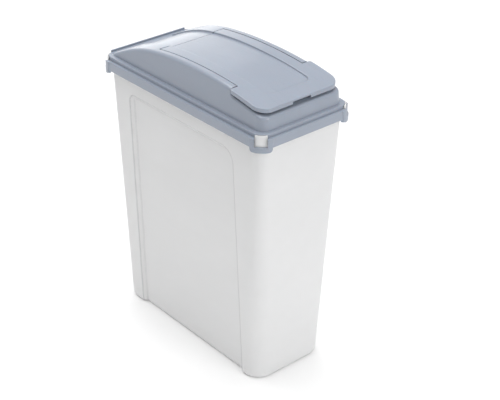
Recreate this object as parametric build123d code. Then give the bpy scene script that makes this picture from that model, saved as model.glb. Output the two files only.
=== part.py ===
from build123d import *
import math
import os

# Pet food storage bin: a tapered tub, a lift-off lid and a hinged pouring flap.
# Millimetres, +Z up. The origin is the middle of the underside.
# X runs across the width, Y along the length; the flap opens at the -Y end.

# Lid skirt, the widest part of the bin
SKIRT_HALF_WIDTH = 94.4
SKIRT_HALF_LENGTH = 200.0
SKIRT_BOTTOM = 445.0
SKIRT_TOP = 460.5
SKIRT_RADIUS = 24.0
LID_WALL = 2.2

# Step between the skirt and the dome
STEP_HALF_WIDTH = 89.0
STEP_HALF_LENGTH = 195.6
STEP_TOP = 466.5
STEP_RADIUS = 19.2
REAR_RIB_TOP = 469.5
REAR_RIB_THICKNESS = 2.0
REAR_RIB_HALF_WIDTH = 76.0

# Dome
DOME_BASE_Z = 450.0
DOME_HEIGHT = 76.0
DOME_TAPER = 5.7
DOME_HALF_WIDTH = 83.2
DOME_FRONT = -191.0
DOME_REAR = 194.6
DOME_RADIUS = 17.0
DOME_WALL = 2.4
SHOULDER_RADIUS = 6.0
SHELF_RADIUS = 4.5

# Height of the crown along the length, as (y, z) stations
CROWN_STATIONS = (
    (-205.0, 493.5),
    (-150.0, 506.2),
    (-94.0, 512.8),
    (-40.0, 514.8),
    (20.0, 513.3),
    (60.0, 509.6),
    (100.0, 502.8),
    (132.0, 493.0),
    (160.0, 481.0),
    (190.0, 465.6),
    (205.0, 457.5),
)
SHELF_DROP = 11.0
CHANNEL_DROP = 3.0
CHANNEL_HALF_WIDTH = 43.5
CHANNEL_FRONT = -157.0
CHANNEL_RADIUS = 12.0
CHANNEL_EDGE_RADIUS = 1.2
POCKET_EDGE_RADIUS = 0.6

# Opening under the flap
POCKET_HALF_WIDTH = 65.2
POCKET_REAR = 76.4
SHELF_START = -113.0
MOUTH_HALF_WIDTH = 57.0
MOUTH_FRONT = -172.0
MOUTH_REAR = 58.0
MOUTH_RADIUS = 14.0

# Flap
FLAP_GAP = 1.2
FLAP_WALL = 2.2
FLAP_RIM_DEPTH = 6.5
FLAP_FRONT = -184.3
FLAP_EAR_HALF_WIDTH = 80.3
FLAP_EAR_RADIUS = 4.0
FLAP_LIP_RADIUS = 22.0
FLAP_REAR_RADIUS = 3.0
FLAP_EDGE_RADIUS = 1.2
NOTCH_HALF_WIDTH = 18.0

# Hinge, a stub pin at each side of the flap running in a bore of the lid
HINGE_Y = 72.4
HINGE_Z = 505.1
PIN_RADIUS = 1.75
BORE_RADIUS = 1.80
PIN_LENGTH = 4.8
BORE_DEPTH = 5.5
BOSS_RADIUS = 4.4
BOSS_LENGTH = 7.5

# Flat pads that carry the closed flap
PAD_Y = -100.0
PAD_HALF_LENGTH = 4.0
PAD_INNER_X = 60.0
PAD_TOP = 505.1
PAD_GAP = 0.05

# Corner straps of the lid with their windows
STRAP_PROUD = 1.5
STRAP_BOTTOM = 439.0
STRAP_HALF_WIDTH = 19.0
STRAP_END_HALF_WIDTH = 16.5
STRAP_END_RADIUS = 4.0
WINDOW_HALF_WIDTH = 10.0
WINDOW_BOTTOM = 447.5

# Tub
TUB_TOP = 458.25
TUB_INSET = 10.4
SIDE_DRAFT = 10.1
FRONT_DRAFT = 18.1
REAR_DRAFT = 1.7
DRAFT_HEIGHT = 445.0
TUB_TOP_RADIUS = 15.0
TUB_BOTTOM_RADIUS = 31.0
TUB_WALL = 2.4
TUB_FLOOR = 3.2
TUB_FOOT_RADIUS = 7.5
RIM_HALF_WIDTH = 91.4
RIM_HALF_LENGTH = 197.0
RIM_THICKNESS = 2.2
RIM_LIP_BOTTOM = 449.5

# Lugs of the tub behind the strap windows
LUG_RADIUS = 21.5
LUG_THICKNESS = 1.6
LUG_HALF_WIDTH = 9.4
LUG_BOTTOM = 448.0
LUG_TOP = 465.5

# Recessed panel on each long side of the tub
PANEL_DEPTH = 6.0
PANEL_TOP = 414.0
PANEL_REAR = 138.0
PANEL_FRONT_TOP = -123.0
PANEL_FRONT_BOTTOM = -135.0
PANEL_SLOPE = 6.0
PANEL_REAR_RADIUS = 14.0
PANEL_FRONT_RADIUS = 24.0
PANEL_FOOT_RADIUS = 3.0


def plan(half_width, front, rear, radius, z):
    """Rounded rectangle at height z, from y = front to y = rear."""
    shape = RectangleRounded(2 * half_width, rear - front, radius)
    return Pos(0, (front + rear) / 2, z) * shape


def slab(half_width, front, rear, radius, z_low, z_high):
    """Upright block on a rounded rectangle."""
    return extrude(plan(half_width, front, rear, radius, z_low), amount=z_high - z_low)


def span(x_low, x_high, y_low, y_high, z_low, z_high):
    """Plain box given by its limits."""
    size = (x_high - x_low, y_high - y_low, z_high - z_low)
    centre = ((x_low + x_high) / 2, (y_low + y_high) / 2, (z_low + z_high) / 2)
    return Pos(*centre) * Box(*size)


def below_crown(drop, half_width=110.0):
    """Everything under the crown curve when the curve is lowered by drop."""
    plane = Plane(origin=(-half_width, 0, 0), x_dir=(0, 1, 0), z_dir=(1, 0, 0))
    points = [(y, z - drop) for y, z in CROWN_STATIONS]
    start, end = points[0], points[-1]
    base = 420.0
    edges = [
        Spline(*points),
        Line(end, (end[0], base)),
        Line((end[0], base), (start[0], base)),
        Line((start[0], base), start),
    ]
    return extrude(plane * make_face(edges), amount=2 * half_width)


def crown_height(y):
    """Height of the crown at y, read from the crown solid."""
    column = below_crown(0.0) & span(-1, 1, y - 0.01, y + 0.01, 430, 560)
    return column.bounding_box().max.Z


def round_channel(part, rear_limit):
    """Round both long edges of the dish or channel, first at its rim, then at its floor."""
    for level in (0.0, CHANNEL_DROP):
        chosen = []
        for edge in part.edges():
            box = edge.bounding_box()
            middle = edge @ 0.5
            inside = max(abs(box.min.X), abs(box.max.X)) < CHANNEL_HALF_WIDTH + 0.05
            lengthwise = box.size.X < 0.05 and abs(middle.X) > CHANNEL_HALF_WIDTH - 0.05
            curved_end = middle.Y < CHANNEL_FRONT + CHANNEL_RADIUS
            near = abs(crown_height(middle.Y) - middle.Z - level) < 0.3
            if inside and near and middle.Y < rear_limit and (lengthwise or curved_end):
                chosen.append(edge)
        part = fillet(chosen, CHANNEL_EDGE_RADIUS)
    return part


def dome_body(inset, drop, shoulder):
    """Tapered dome block under the crown, drawn in by inset on every side."""
    base = plan(
        DOME_HALF_WIDTH - inset, DOME_FRONT + inset, DOME_REAR - inset,
        DOME_RADIUS - inset, DOME_BASE_Z,
    )
    block = extrude(base, amount=DOME_HEIGHT, taper=DOME_TAPER)
    dome = block & below_crown(drop)
    crown = dome.faces().filter_by(GeomType.EXTRUSION)[0]
    return fillet(crown.edges(), shoulder)


def opening_above_shelf(margin):
    """Space cut out above the shelf: the flap pocket and the open front end."""
    half = POCKET_HALF_WIDTH + margin
    pocket = span(-half, half, SHELF_START - 5, POCKET_REAR + margin, 440, 560)
    front = span(-110, 110, -210, SHELF_START + margin, 440, 560)
    return (pocket + front) - below_crown(SHELF_DROP + margin)


def rear_channel(margin):
    """Shallow channel that carries the flap's dished panel down the rear slope."""
    half = CHANNEL_HALF_WIDTH + margin
    band = span(-half, half, POCKET_REAR - 10, 205, 440, 560)
    return band - below_crown(CHANNEL_DROP + margin)


def lid_outside():
    """Outer form of the lid, still solid."""
    skirt = slab(
        SKIRT_HALF_WIDTH, -SKIRT_HALF_LENGTH, SKIRT_HALF_LENGTH,
        SKIRT_RADIUS, SKIRT_BOTTOM, SKIRT_TOP,
    )
    step = slab(
        STEP_HALF_WIDTH, -STEP_HALF_LENGTH, STEP_HALF_LENGTH,
        STEP_RADIUS, SKIRT_TOP - 1, STEP_TOP,
    )
    skirt = fillet(skirt.faces().sort_by(Axis.Z)[-1].edges(), 0.9)
    step = fillet(step.faces().sort_by(Axis.Z)[-1].edges(), 1.0)
    dome = dome_body(0.0, 0.0, SHOULDER_RADIUS)
    dome = dome - opening_above_shelf(0.0) - rear_channel(0.0)
    dome = round_shelf(dome)
    dome = round_channel(dome, DOME_REAR)
    dome = round_pocket(dome)
    return skirt + step + dome


def round_shelf(dome):
    """Round the outer edge of the shelf that runs under the flap's front end."""
    chosen = []
    for edge in dome.edges():
        box = edge.bounding_box()
        on_shelf = box.max.Y < SHELF_START + 0.01 and box.min.Z > 482
        outer = max(abs(box.min.X), abs(box.max.X)) > POCKET_HALF_WIDTH + 2
        low = box.max.Z < crown_height(box.max.Y) - SHELF_DROP + 0.5
        if on_shelf and outer and low and edge.length > 6:
            chosen.append(edge)
    return fillet(chosen, SHELF_RADIUS)


def round_pocket(dome):
    """Round the rim of the pocket along its sides and rear."""
    chosen = []
    for edge in dome.edges():
        box = edge.bounding_box()
        middle = edge @ 0.5
        side = box.size.X < 0.05 and abs(abs(middle.X) - POCKET_HALF_WIDTH) < 0.05
        rear = box.size.Y < 0.05 and abs(middle.Y - POCKET_REAR) < 0.05
        long_enough = (side or rear) and edge.length > 10
        if long_enough and abs(crown_height(middle.Y) - middle.Z) < 0.4:
            chosen.append(edge)
    return fillet(chosen, POCKET_EDGE_RADIUS)


def lid_inside():
    """Hollow of the lid, one wall thickness inside the outer form."""
    wall = LID_WALL
    skirt = slab(
        SKIRT_HALF_WIDTH - wall, -SKIRT_HALF_LENGTH + wall, SKIRT_HALF_LENGTH - wall,
        SKIRT_RADIUS - wall, SKIRT_BOTTOM - 1, SKIRT_TOP - wall,
    )
    step = slab(
        STEP_HALF_WIDTH - wall, -STEP_HALF_LENGTH + wall, STEP_HALF_LENGTH - wall,
        STEP_RADIUS - wall, SKIRT_TOP - wall - 1, STEP_TOP - wall,
    )
    dome = dome_body(DOME_WALL, DOME_WALL + 0.2, SHOULDER_RADIUS - DOME_WALL)
    dome = dome - opening_above_shelf(DOME_WALL) - rear_channel(DOME_WALL)
    return skirt + step + dome


def corner_frames():
    """One upright frame per corner, local X pointing outwards on the diagonal."""
    reach_x = SKIRT_HALF_WIDTH - SKIRT_RADIUS
    reach_y = SKIRT_HALF_LENGTH - SKIRT_RADIUS
    frames = []
    for side_x, side_y in ((1, 1), (-1, 1), (-1, -1), (1, -1)):
        angle = math.degrees(math.atan2(side_y, side_x))
        frames.append(Pos(side_x * reach_x, side_y * reach_y, 0) * Rot(0, 0, angle))
    return frames


def strap(frame):
    """Proud corner strap that hangs a little below the skirt."""
    outer = SKIRT_RADIUS + STRAP_PROUD
    inner = SKIRT_RADIUS - LID_WALL
    height = SKIRT_TOP - STRAP_BOTTOM
    ring = Cylinder(outer, height) - Cylinder(inner, height + 2)
    top, bottom = height / 2 + 1, -height / 2
    wide, narrow = STRAP_HALF_WIDTH, STRAP_END_HALF_WIDTH
    corners = [(-narrow, bottom), (narrow, bottom), (wide, top), (-wide, top)]
    band = make_face(Polyline(*corners, close=True))
    band = fillet(band.vertices().filter_by(lambda v: v.Y < 0), STRAP_END_RADIUS)
    blank = extrude(Plane.YZ * band, amount=40)
    half = extrude(Plane.YZ * Rectangle(80, 80), amount=40)
    body = ring & blank & half
    return frame * Pos(0, 0, (SKIRT_TOP + STRAP_BOTTOM) / 2) * body


def window(frame):
    """Slot through a strap and the ledge above it, for the lug of the tub."""
    hole = span(0, 40, -WINDOW_HALF_WIDTH, WINDOW_HALF_WIDTH, WINDOW_BOTTOM, 480)
    core = Cylinder(LUG_RADIUS - LUG_THICKNESS - 0.4, 1200)
    return frame * (hole - core)


def hinge_cylinders(radius, x_low, x_high):
    """A pair of cylinders on the hinge axis, mirrored about the middle."""
    length = x_high - x_low
    rod = Rot(0, 90, 0) * Cylinder(radius, length)
    middle = (x_low + x_high) / 2
    right = Pos(middle, HINGE_Y, HINGE_Z) * rod
    left = Pos(-middle, HINGE_Y, HINGE_Z) * rod
    return right + left


def rest_pads(z_low, z_high, x_outer):
    """Small blocks near the front of the pocket, one on each side."""
    y_low = PAD_Y - PAD_HALF_LENGTH
    y_high = PAD_Y + PAD_HALF_LENGTH
    right = span(PAD_INNER_X, x_outer, y_low, y_high, z_low, z_high)
    left = span(-x_outer, -PAD_INNER_X, y_low, y_high, z_low, z_high)
    return right + left


def make_lid():
    """Lid: skirt, step, dome, pocket for the flap, mouth, straps and hinge bores."""
    outside = lid_outside()
    lid = outside - lid_inside()
    floor = PAD_TOP - 4.0
    lid = lid + rest_pads(floor, PAD_TOP, POCKET_HALF_WIDTH + 1)
    bosses = hinge_cylinders(BOSS_RADIUS, POCKET_HALF_WIDTH, POCKET_HALF_WIDTH + BOSS_LENGTH)
    lid = lid + (bosses & outside)
    bore_start = POCKET_HALF_WIDTH - 1
    lid = lid - hinge_cylinders(BORE_RADIUS, bore_start, POCKET_HALF_WIDTH + BORE_DEPTH)
    lid = lid - slab(
        MOUTH_HALF_WIDTH, MOUTH_FRONT, MOUTH_REAR, MOUTH_RADIUS, 478, 540
    )
    rib_outer = STEP_HALF_LENGTH - 0.2
    lid = lid + span(
        -REAR_RIB_HALF_WIDTH, REAR_RIB_HALF_WIDTH,
        rib_outer - REAR_RIB_THICKNESS, rib_outer,
        STEP_TOP - 1.5, REAR_RIB_TOP,
    )
    for frame in corner_frames():
        lid = lid + strap(frame)
    for frame in corner_frames():
        lid = lid - window(frame)
    return lid


def flap_plan(inset):
    """Outline of the flap seen from above, drawn in by inset."""
    half = POCKET_HALF_WIDTH - FLAP_GAP - inset
    rear = POCKET_REAR - FLAP_GAP - inset
    main_front = -140.0
    main = Rectangle(2 * half, rear - main_front)
    main = Pos(0, (rear + main_front) / 2) * main
    corners = main.vertices().filter_by(lambda v: v.Y > 0)
    main = fillet(corners, max(FLAP_REAR_RADIUS - inset, 0.6))
    front = FLAP_FRONT + inset
    ear_rear = SHELF_START - FLAP_GAP - inset
    ears = Rectangle(2 * (FLAP_EAR_HALF_WIDTH - inset), ear_rear - front)
    ears = Pos(0, (ear_rear + front) / 2) * ears
    lip = ears.vertices().filter_by(lambda v: v.Y < -150)
    ears = fillet(lip, FLAP_LIP_RADIUS - inset)
    shoulders = ears.vertices().filter_by(lambda v: v.Y > -120)
    ears = fillet(shoulders, FLAP_EAR_RADIUS - inset)
    return main + ears


def flap_dish(margin):
    """Shallow dish in the top of the flap, open at the hinge end."""
    region = slab(
        CHANNEL_HALF_WIDTH + margin, CHANNEL_FRONT - margin, 120,
        CHANNEL_RADIUS + margin, 430, 560,
    )
    return region - below_crown(CHANNEL_DROP + margin)


def make_flap():
    """Flap: thin crowned plate with a turned-down rim, a dish and two stub pins."""
    depth = 160.0
    column = Pos(0, 0, 400) * extrude(flap_plan(0.0), amount=depth)
    body = (column & below_crown(0.0)) - below_crown(FLAP_RIM_DEPTH)
    body = round_flap(body)
    hollow = Pos(0, 0, 400) * extrude(flap_plan(FLAP_WALL), amount=depth)
    hollow = (hollow & below_crown(FLAP_WALL)) - flap_dish(FLAP_WALL)
    flap = round_channel(body - flap_dish(0.0), POCKET_REAR - FLAP_GAP - 1) - hollow
    notch = span(-NOTCH_HALF_WIDTH, NOTCH_HALF_WIDTH, -200, -182, 440, 540)
    flap = flap - (notch & below_crown(FLAP_WALL + 0.2))
    side = POCKET_HALF_WIDTH - FLAP_GAP
    feet = rest_pads(PAD_TOP + PAD_GAP, PAD_TOP + 6.0, side)
    flap = flap + (feet & below_crown(FLAP_WALL - 0.5))
    pins = hinge_cylinders(PIN_RADIUS, side - 1.5, side + PIN_LENGTH)
    return flap + pins


def round_flap(body):
    """Round the top edge of the flap all the way round."""
    crown = body.faces().filter_by(GeomType.EXTRUSION).sort_by(Axis.Z)[-1]
    return fillet(crown.edges(), FLAP_EDGE_RADIUS)


def tub_section(z, inset):
    """Outline of the tub at height z, drawn in by inset."""
    share = 1 - z / DRAFT_HEIGHT
    half = SKIRT_HALF_WIDTH - TUB_INSET - SIDE_DRAFT * share - inset
    front = -SKIRT_HALF_LENGTH + TUB_INSET + FRONT_DRAFT * share + inset
    rear = SKIRT_HALF_LENGTH - TUB_INSET - REAR_DRAFT * share - inset
    radius = TUB_TOP_RADIUS + (TUB_BOTTOM_RADIUS - TUB_TOP_RADIUS) * share - inset
    return plan(half, front, rear, radius, z)


def tub_side(z):
    """Half width of the tub at height z."""
    return SKIRT_HALF_WIDTH - TUB_INSET - SIDE_DRAFT * (1 - z / DRAFT_HEIGHT)


def panel_outline(grow, side, depth):
    """Outline of the side recess on the drafted side wall, depth inside it."""
    low = -20.0
    top = PANEL_TOP + grow
    slant = (PANEL_FRONT_BOTTOM - PANEL_FRONT_TOP) / (PANEL_TOP - 0.0)
    front_top = PANEL_FRONT_TOP - grow
    front_low = front_top + slant * (top - low)
    rear = PANEL_REAR + grow
    corners = [(front_low, low), (rear, low), (rear, top), (front_top, top)]
    face = make_face(Polyline(*corners, close=True))
    rear_corner = face.vertices().filter_by(lambda v: v.Y > 300 and v.X > 0)
    face = fillet(rear_corner, PANEL_REAR_RADIUS + grow)
    front_corner = face.vertices().filter_by(lambda v: v.Y > 300 and v.X < front_top + 1)
    face = fillet(front_corner, PANEL_FRONT_RADIUS + grow)
    tilt = math.degrees(math.atan(SIDE_DRAFT / DRAFT_HEIGHT))
    base = Plane(origin=(side * (tub_side(0) - depth), 0, 0), x_dir=(0, 1, 0), z_dir=(1, 0, 0))
    return base.rotated((0, side * tilt, 0)) * face


def side_recess(side, margin):
    """Sloped-wall recess on one long side, made deeper and wider by margin."""
    outer = panel_outline(margin + 2.0, side, -2.0)
    inner = panel_outline(margin - PANEL_SLOPE, side, PANEL_DEPTH + margin)
    return loft([outer, inner], ruled=True)


def round_recess(part):
    """Round the inner corner all along both side recesses."""
    chosen = []
    for edge in part.edges():
        box = edge.bounding_box()
        middle = edge.center()
        floor = tub_side(middle.Z) - PANEL_DEPTH
        on_side = abs(abs(middle.X) - floor) < 0.9 and box.size.X < 12
        low_enough = 50 < box.max.Z < PANEL_TOP + 2
        between = box.min.Y > -150 and box.max.Y < PANEL_REAR + 7
        if edge.length > 10 and on_side and low_enough and between:
            chosen.append(edge)
    return fillet(chosen, PANEL_FOOT_RADIUS)


def lug(frame):
    """Upright curved tab at a corner of the tub's rim."""
    height = LUG_TOP - LUG_BOTTOM
    ring = Cylinder(LUG_RADIUS, height) - Cylinder(LUG_RADIUS - LUG_THICKNESS, height + 2)
    band = RectangleRounded(2 * LUG_HALF_WIDTH, height, 1.5)
    blank = extrude(Plane.YZ * band, amount=40)
    return frame * Pos(0, 0, (LUG_TOP + LUG_BOTTOM) / 2) * (ring & blank)


def make_tub():
    """Tub: drafted walls, recessed long sides, turned-over rim and corner lugs."""
    outside = loft([tub_section(0, 0), tub_section(TUB_TOP, 0)], ruled=True)
    inside = loft(
        [tub_section(TUB_FLOOR, TUB_WALL), tub_section(TUB_TOP + 5, TUB_WALL)], ruled=True
    )
    for side in (1, -1):
        outside = outside - side_recess(side, 0.0)
        inside = inside - side_recess(side, TUB_WALL)
    outside = round_recess(outside)
    outside = fillet(outside.faces().sort_by(Axis.Z)[0].edges(), TUB_FOOT_RADIUS)
    inside = fillet(inside.faces().sort_by(Axis.Z)[0].edges(), TUB_FOOT_RADIUS - TUB_WALL)
    rim = slab(
        RIM_HALF_WIDTH, -RIM_HALF_LENGTH, RIM_HALF_LENGTH, LUG_RADIUS - 0.4,
        RIM_LIP_BOTTOM, TUB_TOP,
    )
    wall = RIM_THICKNESS
    under = slab(
        RIM_HALF_WIDTH - wall, -RIM_HALF_LENGTH + wall, RIM_HALF_LENGTH - wall,
        LUG_RADIUS - 0.4 - wall, RIM_LIP_BOTTOM - 1, TUB_TOP - wall,
    )
    tub = outside + (rim - under)
    for frame in corner_frames():
        tub = tub + lug(frame)
    return tub - inside


def main():
    os.makedirs("parts", exist_ok=True)
    export_step(make_tub(), "parts/bin_body.step")
    export_step(make_lid(), "parts/lid.step")
    export_step(make_flap(), "parts/flap.step")


main()
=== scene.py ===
import math

import bpy
from mathutils import Euler, Matrix, Vector

# Looks of the pet food bin: milky tub, satin blue-grey lid and flap, studio light and camera.
# Metres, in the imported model's frame.

CAMERA_PLACE = (-1.1603, -1.4190, 1.3028)
CAMERA_PITCH = 30.03
CAMERA_TURN = -40.65
CAMERA_ROLL = 0.19
CAMERA_LENS = 91.81

TUB_COLOUR = (0.95, 0.95, 0.95)
TUB_EDGE_COLOUR = (0.80, 0.80, 0.81)
# Grey of the painted shade line along the tub's bends below the rim.
TUB_BEND_SHADE_COLOUR = (0.58, 0.58, 0.59)
LID_COLOUR = (0.272, 0.306, 0.370)

EDGE_RADIUS = 0.0011
LINE_RADIUS = 0.004
CREVICE_REACH = 0.004
MASK_SAMPLES = 6
PLASTIC_IOR = 1.49

# Heights between which the painted shade line of the tub fades out below its rim
LINE_FADE = (0.425, 0.435)

FLOOR_HALF_WIDTH = 6.0
FLOOR_NEAR = -6.0
FLOOR_FAR = 3.0
FLOOR_CURVE = 2.0
FLOOR_ROWS = 24
FLOOR_FLAT_ROWS = 4

SURROUND = 0.62
LIGHT_TARGET = (0, 0, 0.3)
# Name, place, width and height, power in watts
LIGHTS = (
    ("top", (0.0, 0.4, 2.7), (2.4, 2.4), 52.0),
    ("front", (0.5, -3.3, 1.6), (1.6, 1.6), 29.0),
    ("rear", (1.2, 3.2, 1.6), (2.6, 1.4), 6.7),
    ("low_rear", (1.5, 2.3, 0.45), (2.8, 0.7), 6.5),
    ("spark_left", (-1.4, -2.2, 2.1), (0.25, 0.25), 3.0),
    ("spark_right", (1.0, -2.9, 2.1), (0.25, 0.25), 3.0),
)


def new_material(name):
    """Empty node material with a Principled shader on its output."""
    material = bpy.data.materials.new(name)
    material.use_nodes = True
    tree = material.node_tree
    tree.nodes.clear()
    output = tree.nodes.new("ShaderNodeOutputMaterial")
    shader = tree.nodes.new("ShaderNodeBsdfPrincipled")
    tree.links.new(shader.outputs["BSDF"], output.inputs["Surface"])
    return material, tree, shader


def noise(tree, scale, detail, stretch=(1, 1, 1)):
    """Noise over the object's own coordinates, in features per metre."""
    place = tree.nodes.new("ShaderNodeTexCoord")
    mapping = tree.nodes.new("ShaderNodeMapping")
    mapping.inputs["Scale"].default_value = stretch
    texture = tree.nodes.new("ShaderNodeTexNoise")
    texture.inputs["Scale"].default_value = scale
    texture.inputs["Detail"].default_value = detail
    tree.links.new(place.outputs["Object"], mapping.inputs["Vector"])
    tree.links.new(mapping.outputs["Vector"], texture.inputs["Vector"])
    return texture.outputs["Fac"]


def ranged(tree, value, low, high, to_low, to_high):
    """Value remapped from low..high to to_low..to_high, held inside that range."""
    node = tree.nodes.new("ShaderNodeMapRange")
    node.inputs["From Min"].default_value = low
    node.inputs["From Max"].default_value = high
    node.inputs["To Min"].default_value = to_low
    node.inputs["To Max"].default_value = to_high
    tree.links.new(value, node.inputs["Value"])
    return node.outputs["Result"]


def maths(tree, operation, first, second):
    """Two values joined by one operation; either may be a plain number."""
    node = tree.nodes.new("ShaderNodeMath")
    node.operation = operation
    for slot, value in zip(node.inputs, (first, second)):
        if isinstance(value, (int, float)):
            slot.default_value = value
        else:
            tree.links.new(value, slot)
    return node.outputs[0]


def mix_colour(tree, factor, first, second):
    """Colour between first and second; each is a colour or another node's output."""
    node = tree.nodes.new("ShaderNodeMix")
    node.data_type = "RGBA"
    tree.links.new(factor, node.inputs["Factor"])
    for slot, value in ((node.inputs["A"], first), (node.inputs["B"], second)):
        if isinstance(value, tuple):
            slot.default_value = (*value, 1)
        else:
            tree.links.new(value, slot)
    return node.outputs["Result"]


def edge_mask(tree, radius, sharpest):
    """Mask near 1 on edges and 0 on flat areas, and the rounded normal it comes from."""
    bevel = tree.nodes.new("ShaderNodeBevel")
    bevel.samples = MASK_SAMPLES
    bevel.inputs["Radius"].default_value = radius
    geometry = tree.nodes.new("ShaderNodeNewGeometry")
    dot = tree.nodes.new("ShaderNodeVectorMath")
    dot.operation = "DOT_PRODUCT"
    tree.links.new(bevel.outputs["Normal"], dot.inputs[0])
    tree.links.new(geometry.outputs["Normal"], dot.inputs[1])
    mask = ranged(tree, dot.outputs["Value"], 0.995, sharpest, 0.0, 1.0)
    return mask, bevel.outputs["Normal"]


def crevice_mask(tree):
    """Near 1 deep in narrow gaps and 0 on open faces; it places the painted shade in gaps."""
    shade = tree.nodes.new("ShaderNodeAmbientOcclusion")
    shade.samples = MASK_SAMPLES
    shade.inputs["Distance"].default_value = CREVICE_REACH
    return ranged(tree, shade.outputs["AO"], 0.62, 0.22, 0.0, 1.0)


def bumped(tree, height, strength, distance, under):
    """Bump from height laid over another normal."""
    node = tree.nodes.new("ShaderNodeBump")
    node.inputs["Strength"].default_value = strength
    node.inputs["Distance"].default_value = distance
    tree.links.new(height, node.inputs["Height"])
    tree.links.new(under, node.inputs["Normal"])
    return node.outputs["Normal"]


def moulded_plastic(name, colour, shade, roughness, grain, edge, gap_shade):
    """Injection-moulded plastic: cloudy colour, satin grain, faint scuffs, edges recoloured
    partly as wear and partly as painted light, painted shade in narrow gaps.

    shade is the spread of the cloudy colour, grain is (features per metre, depth), edge is
    (edge colour, normal product at which it is full), and the last argument is how dark the
    painted shade in narrow gaps gets.
    """
    grain_scale, grain_depth = grain
    edge_colour, sharpest = edge
    material, tree, shader = new_material(name)
    cloud = noise(tree, 9.0, 3.0)
    flow = noise(tree, 26.0, 4.0, (1.0, 0.25, 1.0))
    speckle = noise(tree, grain_scale, 2.0)
    scuff = noise(tree, 160.0, 5.0, (1.0, 0.12, 0.6))

    tone = ranged(tree, maths(tree, "ADD", cloud, flow), 0.7, 1.3, 0.0, 1.0)
    dark = tuple(c * (1 - shade) for c in colour)
    light = tuple(min(1.0, c * (1 + shade)) for c in colour)
    body = mix_colour(tree, tone, dark, light)

    edges, rounded = edge_mask(tree, EDGE_RADIUS, sharpest)
    scuffed = ranged(tree, scuff, 0.45, 0.70, 0.55, 1.0)
    edge_wear_and_light = maths(tree, "MULTIPLY", edges, scuffed)
    # Edge colour, broken up by scuff noise: partly wear, partly painted light along edges (a
    # pale painted highlight on the lid, a darker edge tone on the tub).
    body = mix_colour(tree, edge_wear_and_light, body, edge_colour)
    # Painted shade: the colour darkens deep in narrow gaps, standing in for the shade that
    # falls there.
    shaded_gap_colour = tuple(c * (1 - gap_shade) for c in colour)
    body = mix_colour(tree, crevice_mask(tree), body, shaded_gap_colour)
    tree.links.new(body, shader.inputs["Base Color"])

    rough = ranged(tree, scuff, 0.35, 0.75, roughness - 0.015, roughness + 0.03)
    rough = maths(tree, "ADD", rough, ranged(tree, speckle, 0.3, 0.7, -0.02, 0.02))
    tree.links.new(rough, shader.inputs["Roughness"])

    waves = bumped(tree, flow, 0.04, 0.0005, rounded)
    fine = bumped(tree, speckle, 0.25, grain_depth, waves)
    tree.links.new(fine, shader.inputs["Normal"])
    return material, tree, shader, body


def painted_bend_shade(tree, colour):
    """Colour with a painted shade line, soft grey, along the bends of the wall below the rim.
    """
    bends, _ = edge_mask(tree, LINE_RADIUS, 0.955)
    place = tree.nodes.new("ShaderNodeTexCoord")
    height = tree.nodes.new("ShaderNodeSeparateXYZ")
    tree.links.new(place.outputs["Object"], height.inputs[0])
    below_rim = ranged(tree, height.outputs["Z"], *LINE_FADE, 1.0, 0.0)
    factor = maths(tree, "MULTIPLY", bends, below_rim)
    return mix_colour(tree, factor, colour, TUB_BEND_SHADE_COLOUR)


def tub_material():
    """Milky natural polypropylene that lets some light through."""
    material, tree, shader, body = moulded_plastic(
        "milky_tub", TUB_COLOUR, shade=0.02, roughness=0.42, grain=(1500.0, 0.00005),
        edge=(TUB_EDGE_COLOUR, 0.90), gap_shade=0.03,
    )
    # Painted shade: a soft grey line along the bends of the tub's wall, standing in for the
    # shadow lines at the recess edges.
    colour = painted_bend_shade(tree, body)
    tree.links.new(colour, shader.inputs["Base Color"])
    shader.inputs["Subsurface Weight"].default_value = 0.35
    shader.inputs["Subsurface Radius"].default_value = (1.0, 0.97, 0.93)
    shader.inputs["Subsurface Scale"].default_value = 0.012
    shader.inputs["IOR"].default_value = PLASTIC_IOR
    output = tree.nodes["Material Output"]
    through = tree.nodes.new("ShaderNodeBsdfTranslucent")
    tree.links.new(colour, through.inputs["Color"])
    blend = tree.nodes.new("ShaderNodeMixShader")
    blend.inputs["Fac"].default_value = 0.30
    tree.links.new(shader.outputs["BSDF"], blend.inputs[1])
    tree.links.new(through.outputs["BSDF"], blend.inputs[2])
    tree.links.new(blend.outputs["Shader"], output.inputs["Surface"])
    return material


def lid_material(name):
    """Satin blue-grey polypropylene."""
    # Pale edge colour: painted highlight along the lid's edges, mixed with wear.
    pale = tuple(min(1.0, c * 1.45) for c in LID_COLOUR)
    # Strong painted shade in the lid's narrow gaps, such as the gap round the flap.
    material, _, shader, _ = moulded_plastic(
        name, LID_COLOUR, shade=0.03, roughness=0.30, grain=(1800.0, 0.00003),
        edge=(pale, 0.86), gap_shade=0.7,
    )
    shader.inputs["IOR"].default_value = PLASTIC_IOR
    shader.inputs["Coat Weight"].default_value = 0.35
    shader.inputs["Coat Roughness"].default_value = 0.08
    shader.inputs["Subsurface Weight"].default_value = 0.06
    shader.inputs["Subsurface Scale"].default_value = 0.003
    return material


def paint(piece, material):
    """Every face of a CAD node takes this material."""
    if not piece.material_slots:
        piece.data.materials.append(material)
    for slot in piece.material_slots:
        slot.material = material


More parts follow.
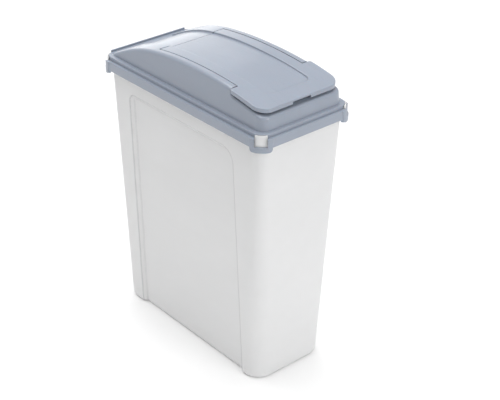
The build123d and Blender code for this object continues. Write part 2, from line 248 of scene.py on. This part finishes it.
def floor_piece():
    """Pale plain floor that curves up well behind the bin."""
    vertices = []
    faces = []
    for row in range(FLOOR_ROWS + 1):
        share = max(0, row - FLOOR_FLAT_ROWS) / (FLOOR_ROWS - FLOOR_FLAT_ROWS)
        angle = math.radians(90 * share)
        flat = min(1, row / FLOOR_FLAT_ROWS)
        y = FLOOR_NEAR + (FLOOR_FAR - FLOOR_NEAR) * flat + FLOOR_CURVE * math.sin(angle)
        z = FLOOR_CURVE - FLOOR_CURVE * math.cos(angle)
        vertices += [(-FLOOR_HALF_WIDTH, y, z), (FLOOR_HALF_WIDTH, y, z)]
    for row in range(FLOOR_ROWS):
        first = 2 * row
        faces.append((first, first + 1, first + 3, first + 2))
    mesh = bpy.data.meshes.new("floor")
    mesh.from_pydata(vertices, [], faces)
    mesh.shade_smooth()
    floor = bpy.data.objects.new("floor", mesh)
    bpy.context.scene.collection.objects.link(floor)
    material, tree, shader = new_material("studio_floor")
    speckle = noise(tree, 4.0, 2.0)
    tone = mix_colour(tree, speckle, (0.93, 0.93, 0.93), (0.96, 0.96, 0.96))
    tree.links.new(tone, shader.inputs["Base Color"])
    shader.inputs["Roughness"].default_value = 0.85
    mesh.materials.append(material)
    floor.rotation_euler = (0, 0, math.radians(CAMERA_TURN))


def area_light(name, place, size, power):
    """Soft white rectangular light at place, aimed at the middle of the bin."""
    data = bpy.data.lights.new(name, "AREA")
    data.shape = "RECTANGLE"
    data.size, data.size_y = size
    data.energy = power
    light = bpy.data.objects.new(name, data)
    bpy.context.scene.collection.objects.link(light)
    light.location = place
    light.visible_camera = False
    direction = Vector(LIGHT_TARGET) - Vector(place)
    light.rotation_euler = direction.to_track_quat("-Z", "Y").to_euler()


def studio_light():
    """White surround, large soft lights above, in front and behind, two small ones in front."""
    bpy.context.scene.view_settings.view_transform = "Standard"
    world = bpy.data.worlds.new("studio")
    bpy.context.scene.world = world
    world.use_nodes = True
    back = world.node_tree.nodes["Background"]
    back.inputs["Color"].default_value = (1.0, 1.0, 1.0, 1)
    back.inputs["Strength"].default_value = SURROUND
    for name, place, size, power in LIGHTS:
        area_light(name, place, size, power)


def camera():
    """Camera a little above the bin, looking at its long side and its front."""
    data = bpy.data.cameras.new("camera")
    data.sensor_width = 36.0
    data.lens = CAMERA_LENS
    data.clip_start = 0.05
    data.clip_end = 50.0
    view = bpy.data.objects.new("camera", data)
    bpy.context.scene.collection.objects.link(view)
    turn = Euler((math.radians(90 - CAMERA_PITCH), 0, math.radians(CAMERA_TURN)), "XYZ")
    roll = Matrix.Rotation(math.radians(CAMERA_ROLL), 4, "Z")
    view.matrix_world = Matrix.Translation(CAMERA_PLACE) @ turn.to_matrix().to_4x4() @ roll
    bpy.context.scene.camera = view


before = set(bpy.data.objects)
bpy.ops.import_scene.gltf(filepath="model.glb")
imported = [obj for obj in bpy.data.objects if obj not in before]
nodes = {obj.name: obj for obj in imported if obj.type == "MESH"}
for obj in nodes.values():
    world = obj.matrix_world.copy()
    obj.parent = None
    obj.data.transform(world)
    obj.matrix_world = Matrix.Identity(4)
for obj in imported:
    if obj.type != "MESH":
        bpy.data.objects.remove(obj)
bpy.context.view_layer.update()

paint(nodes["bin_body"], tub_material())
paint(nodes["lid"], lid_material("lid_plastic"))
paint(nodes["flap"], lid_material("flap_plastic"))

floor_piece()
studio_light()
camera()
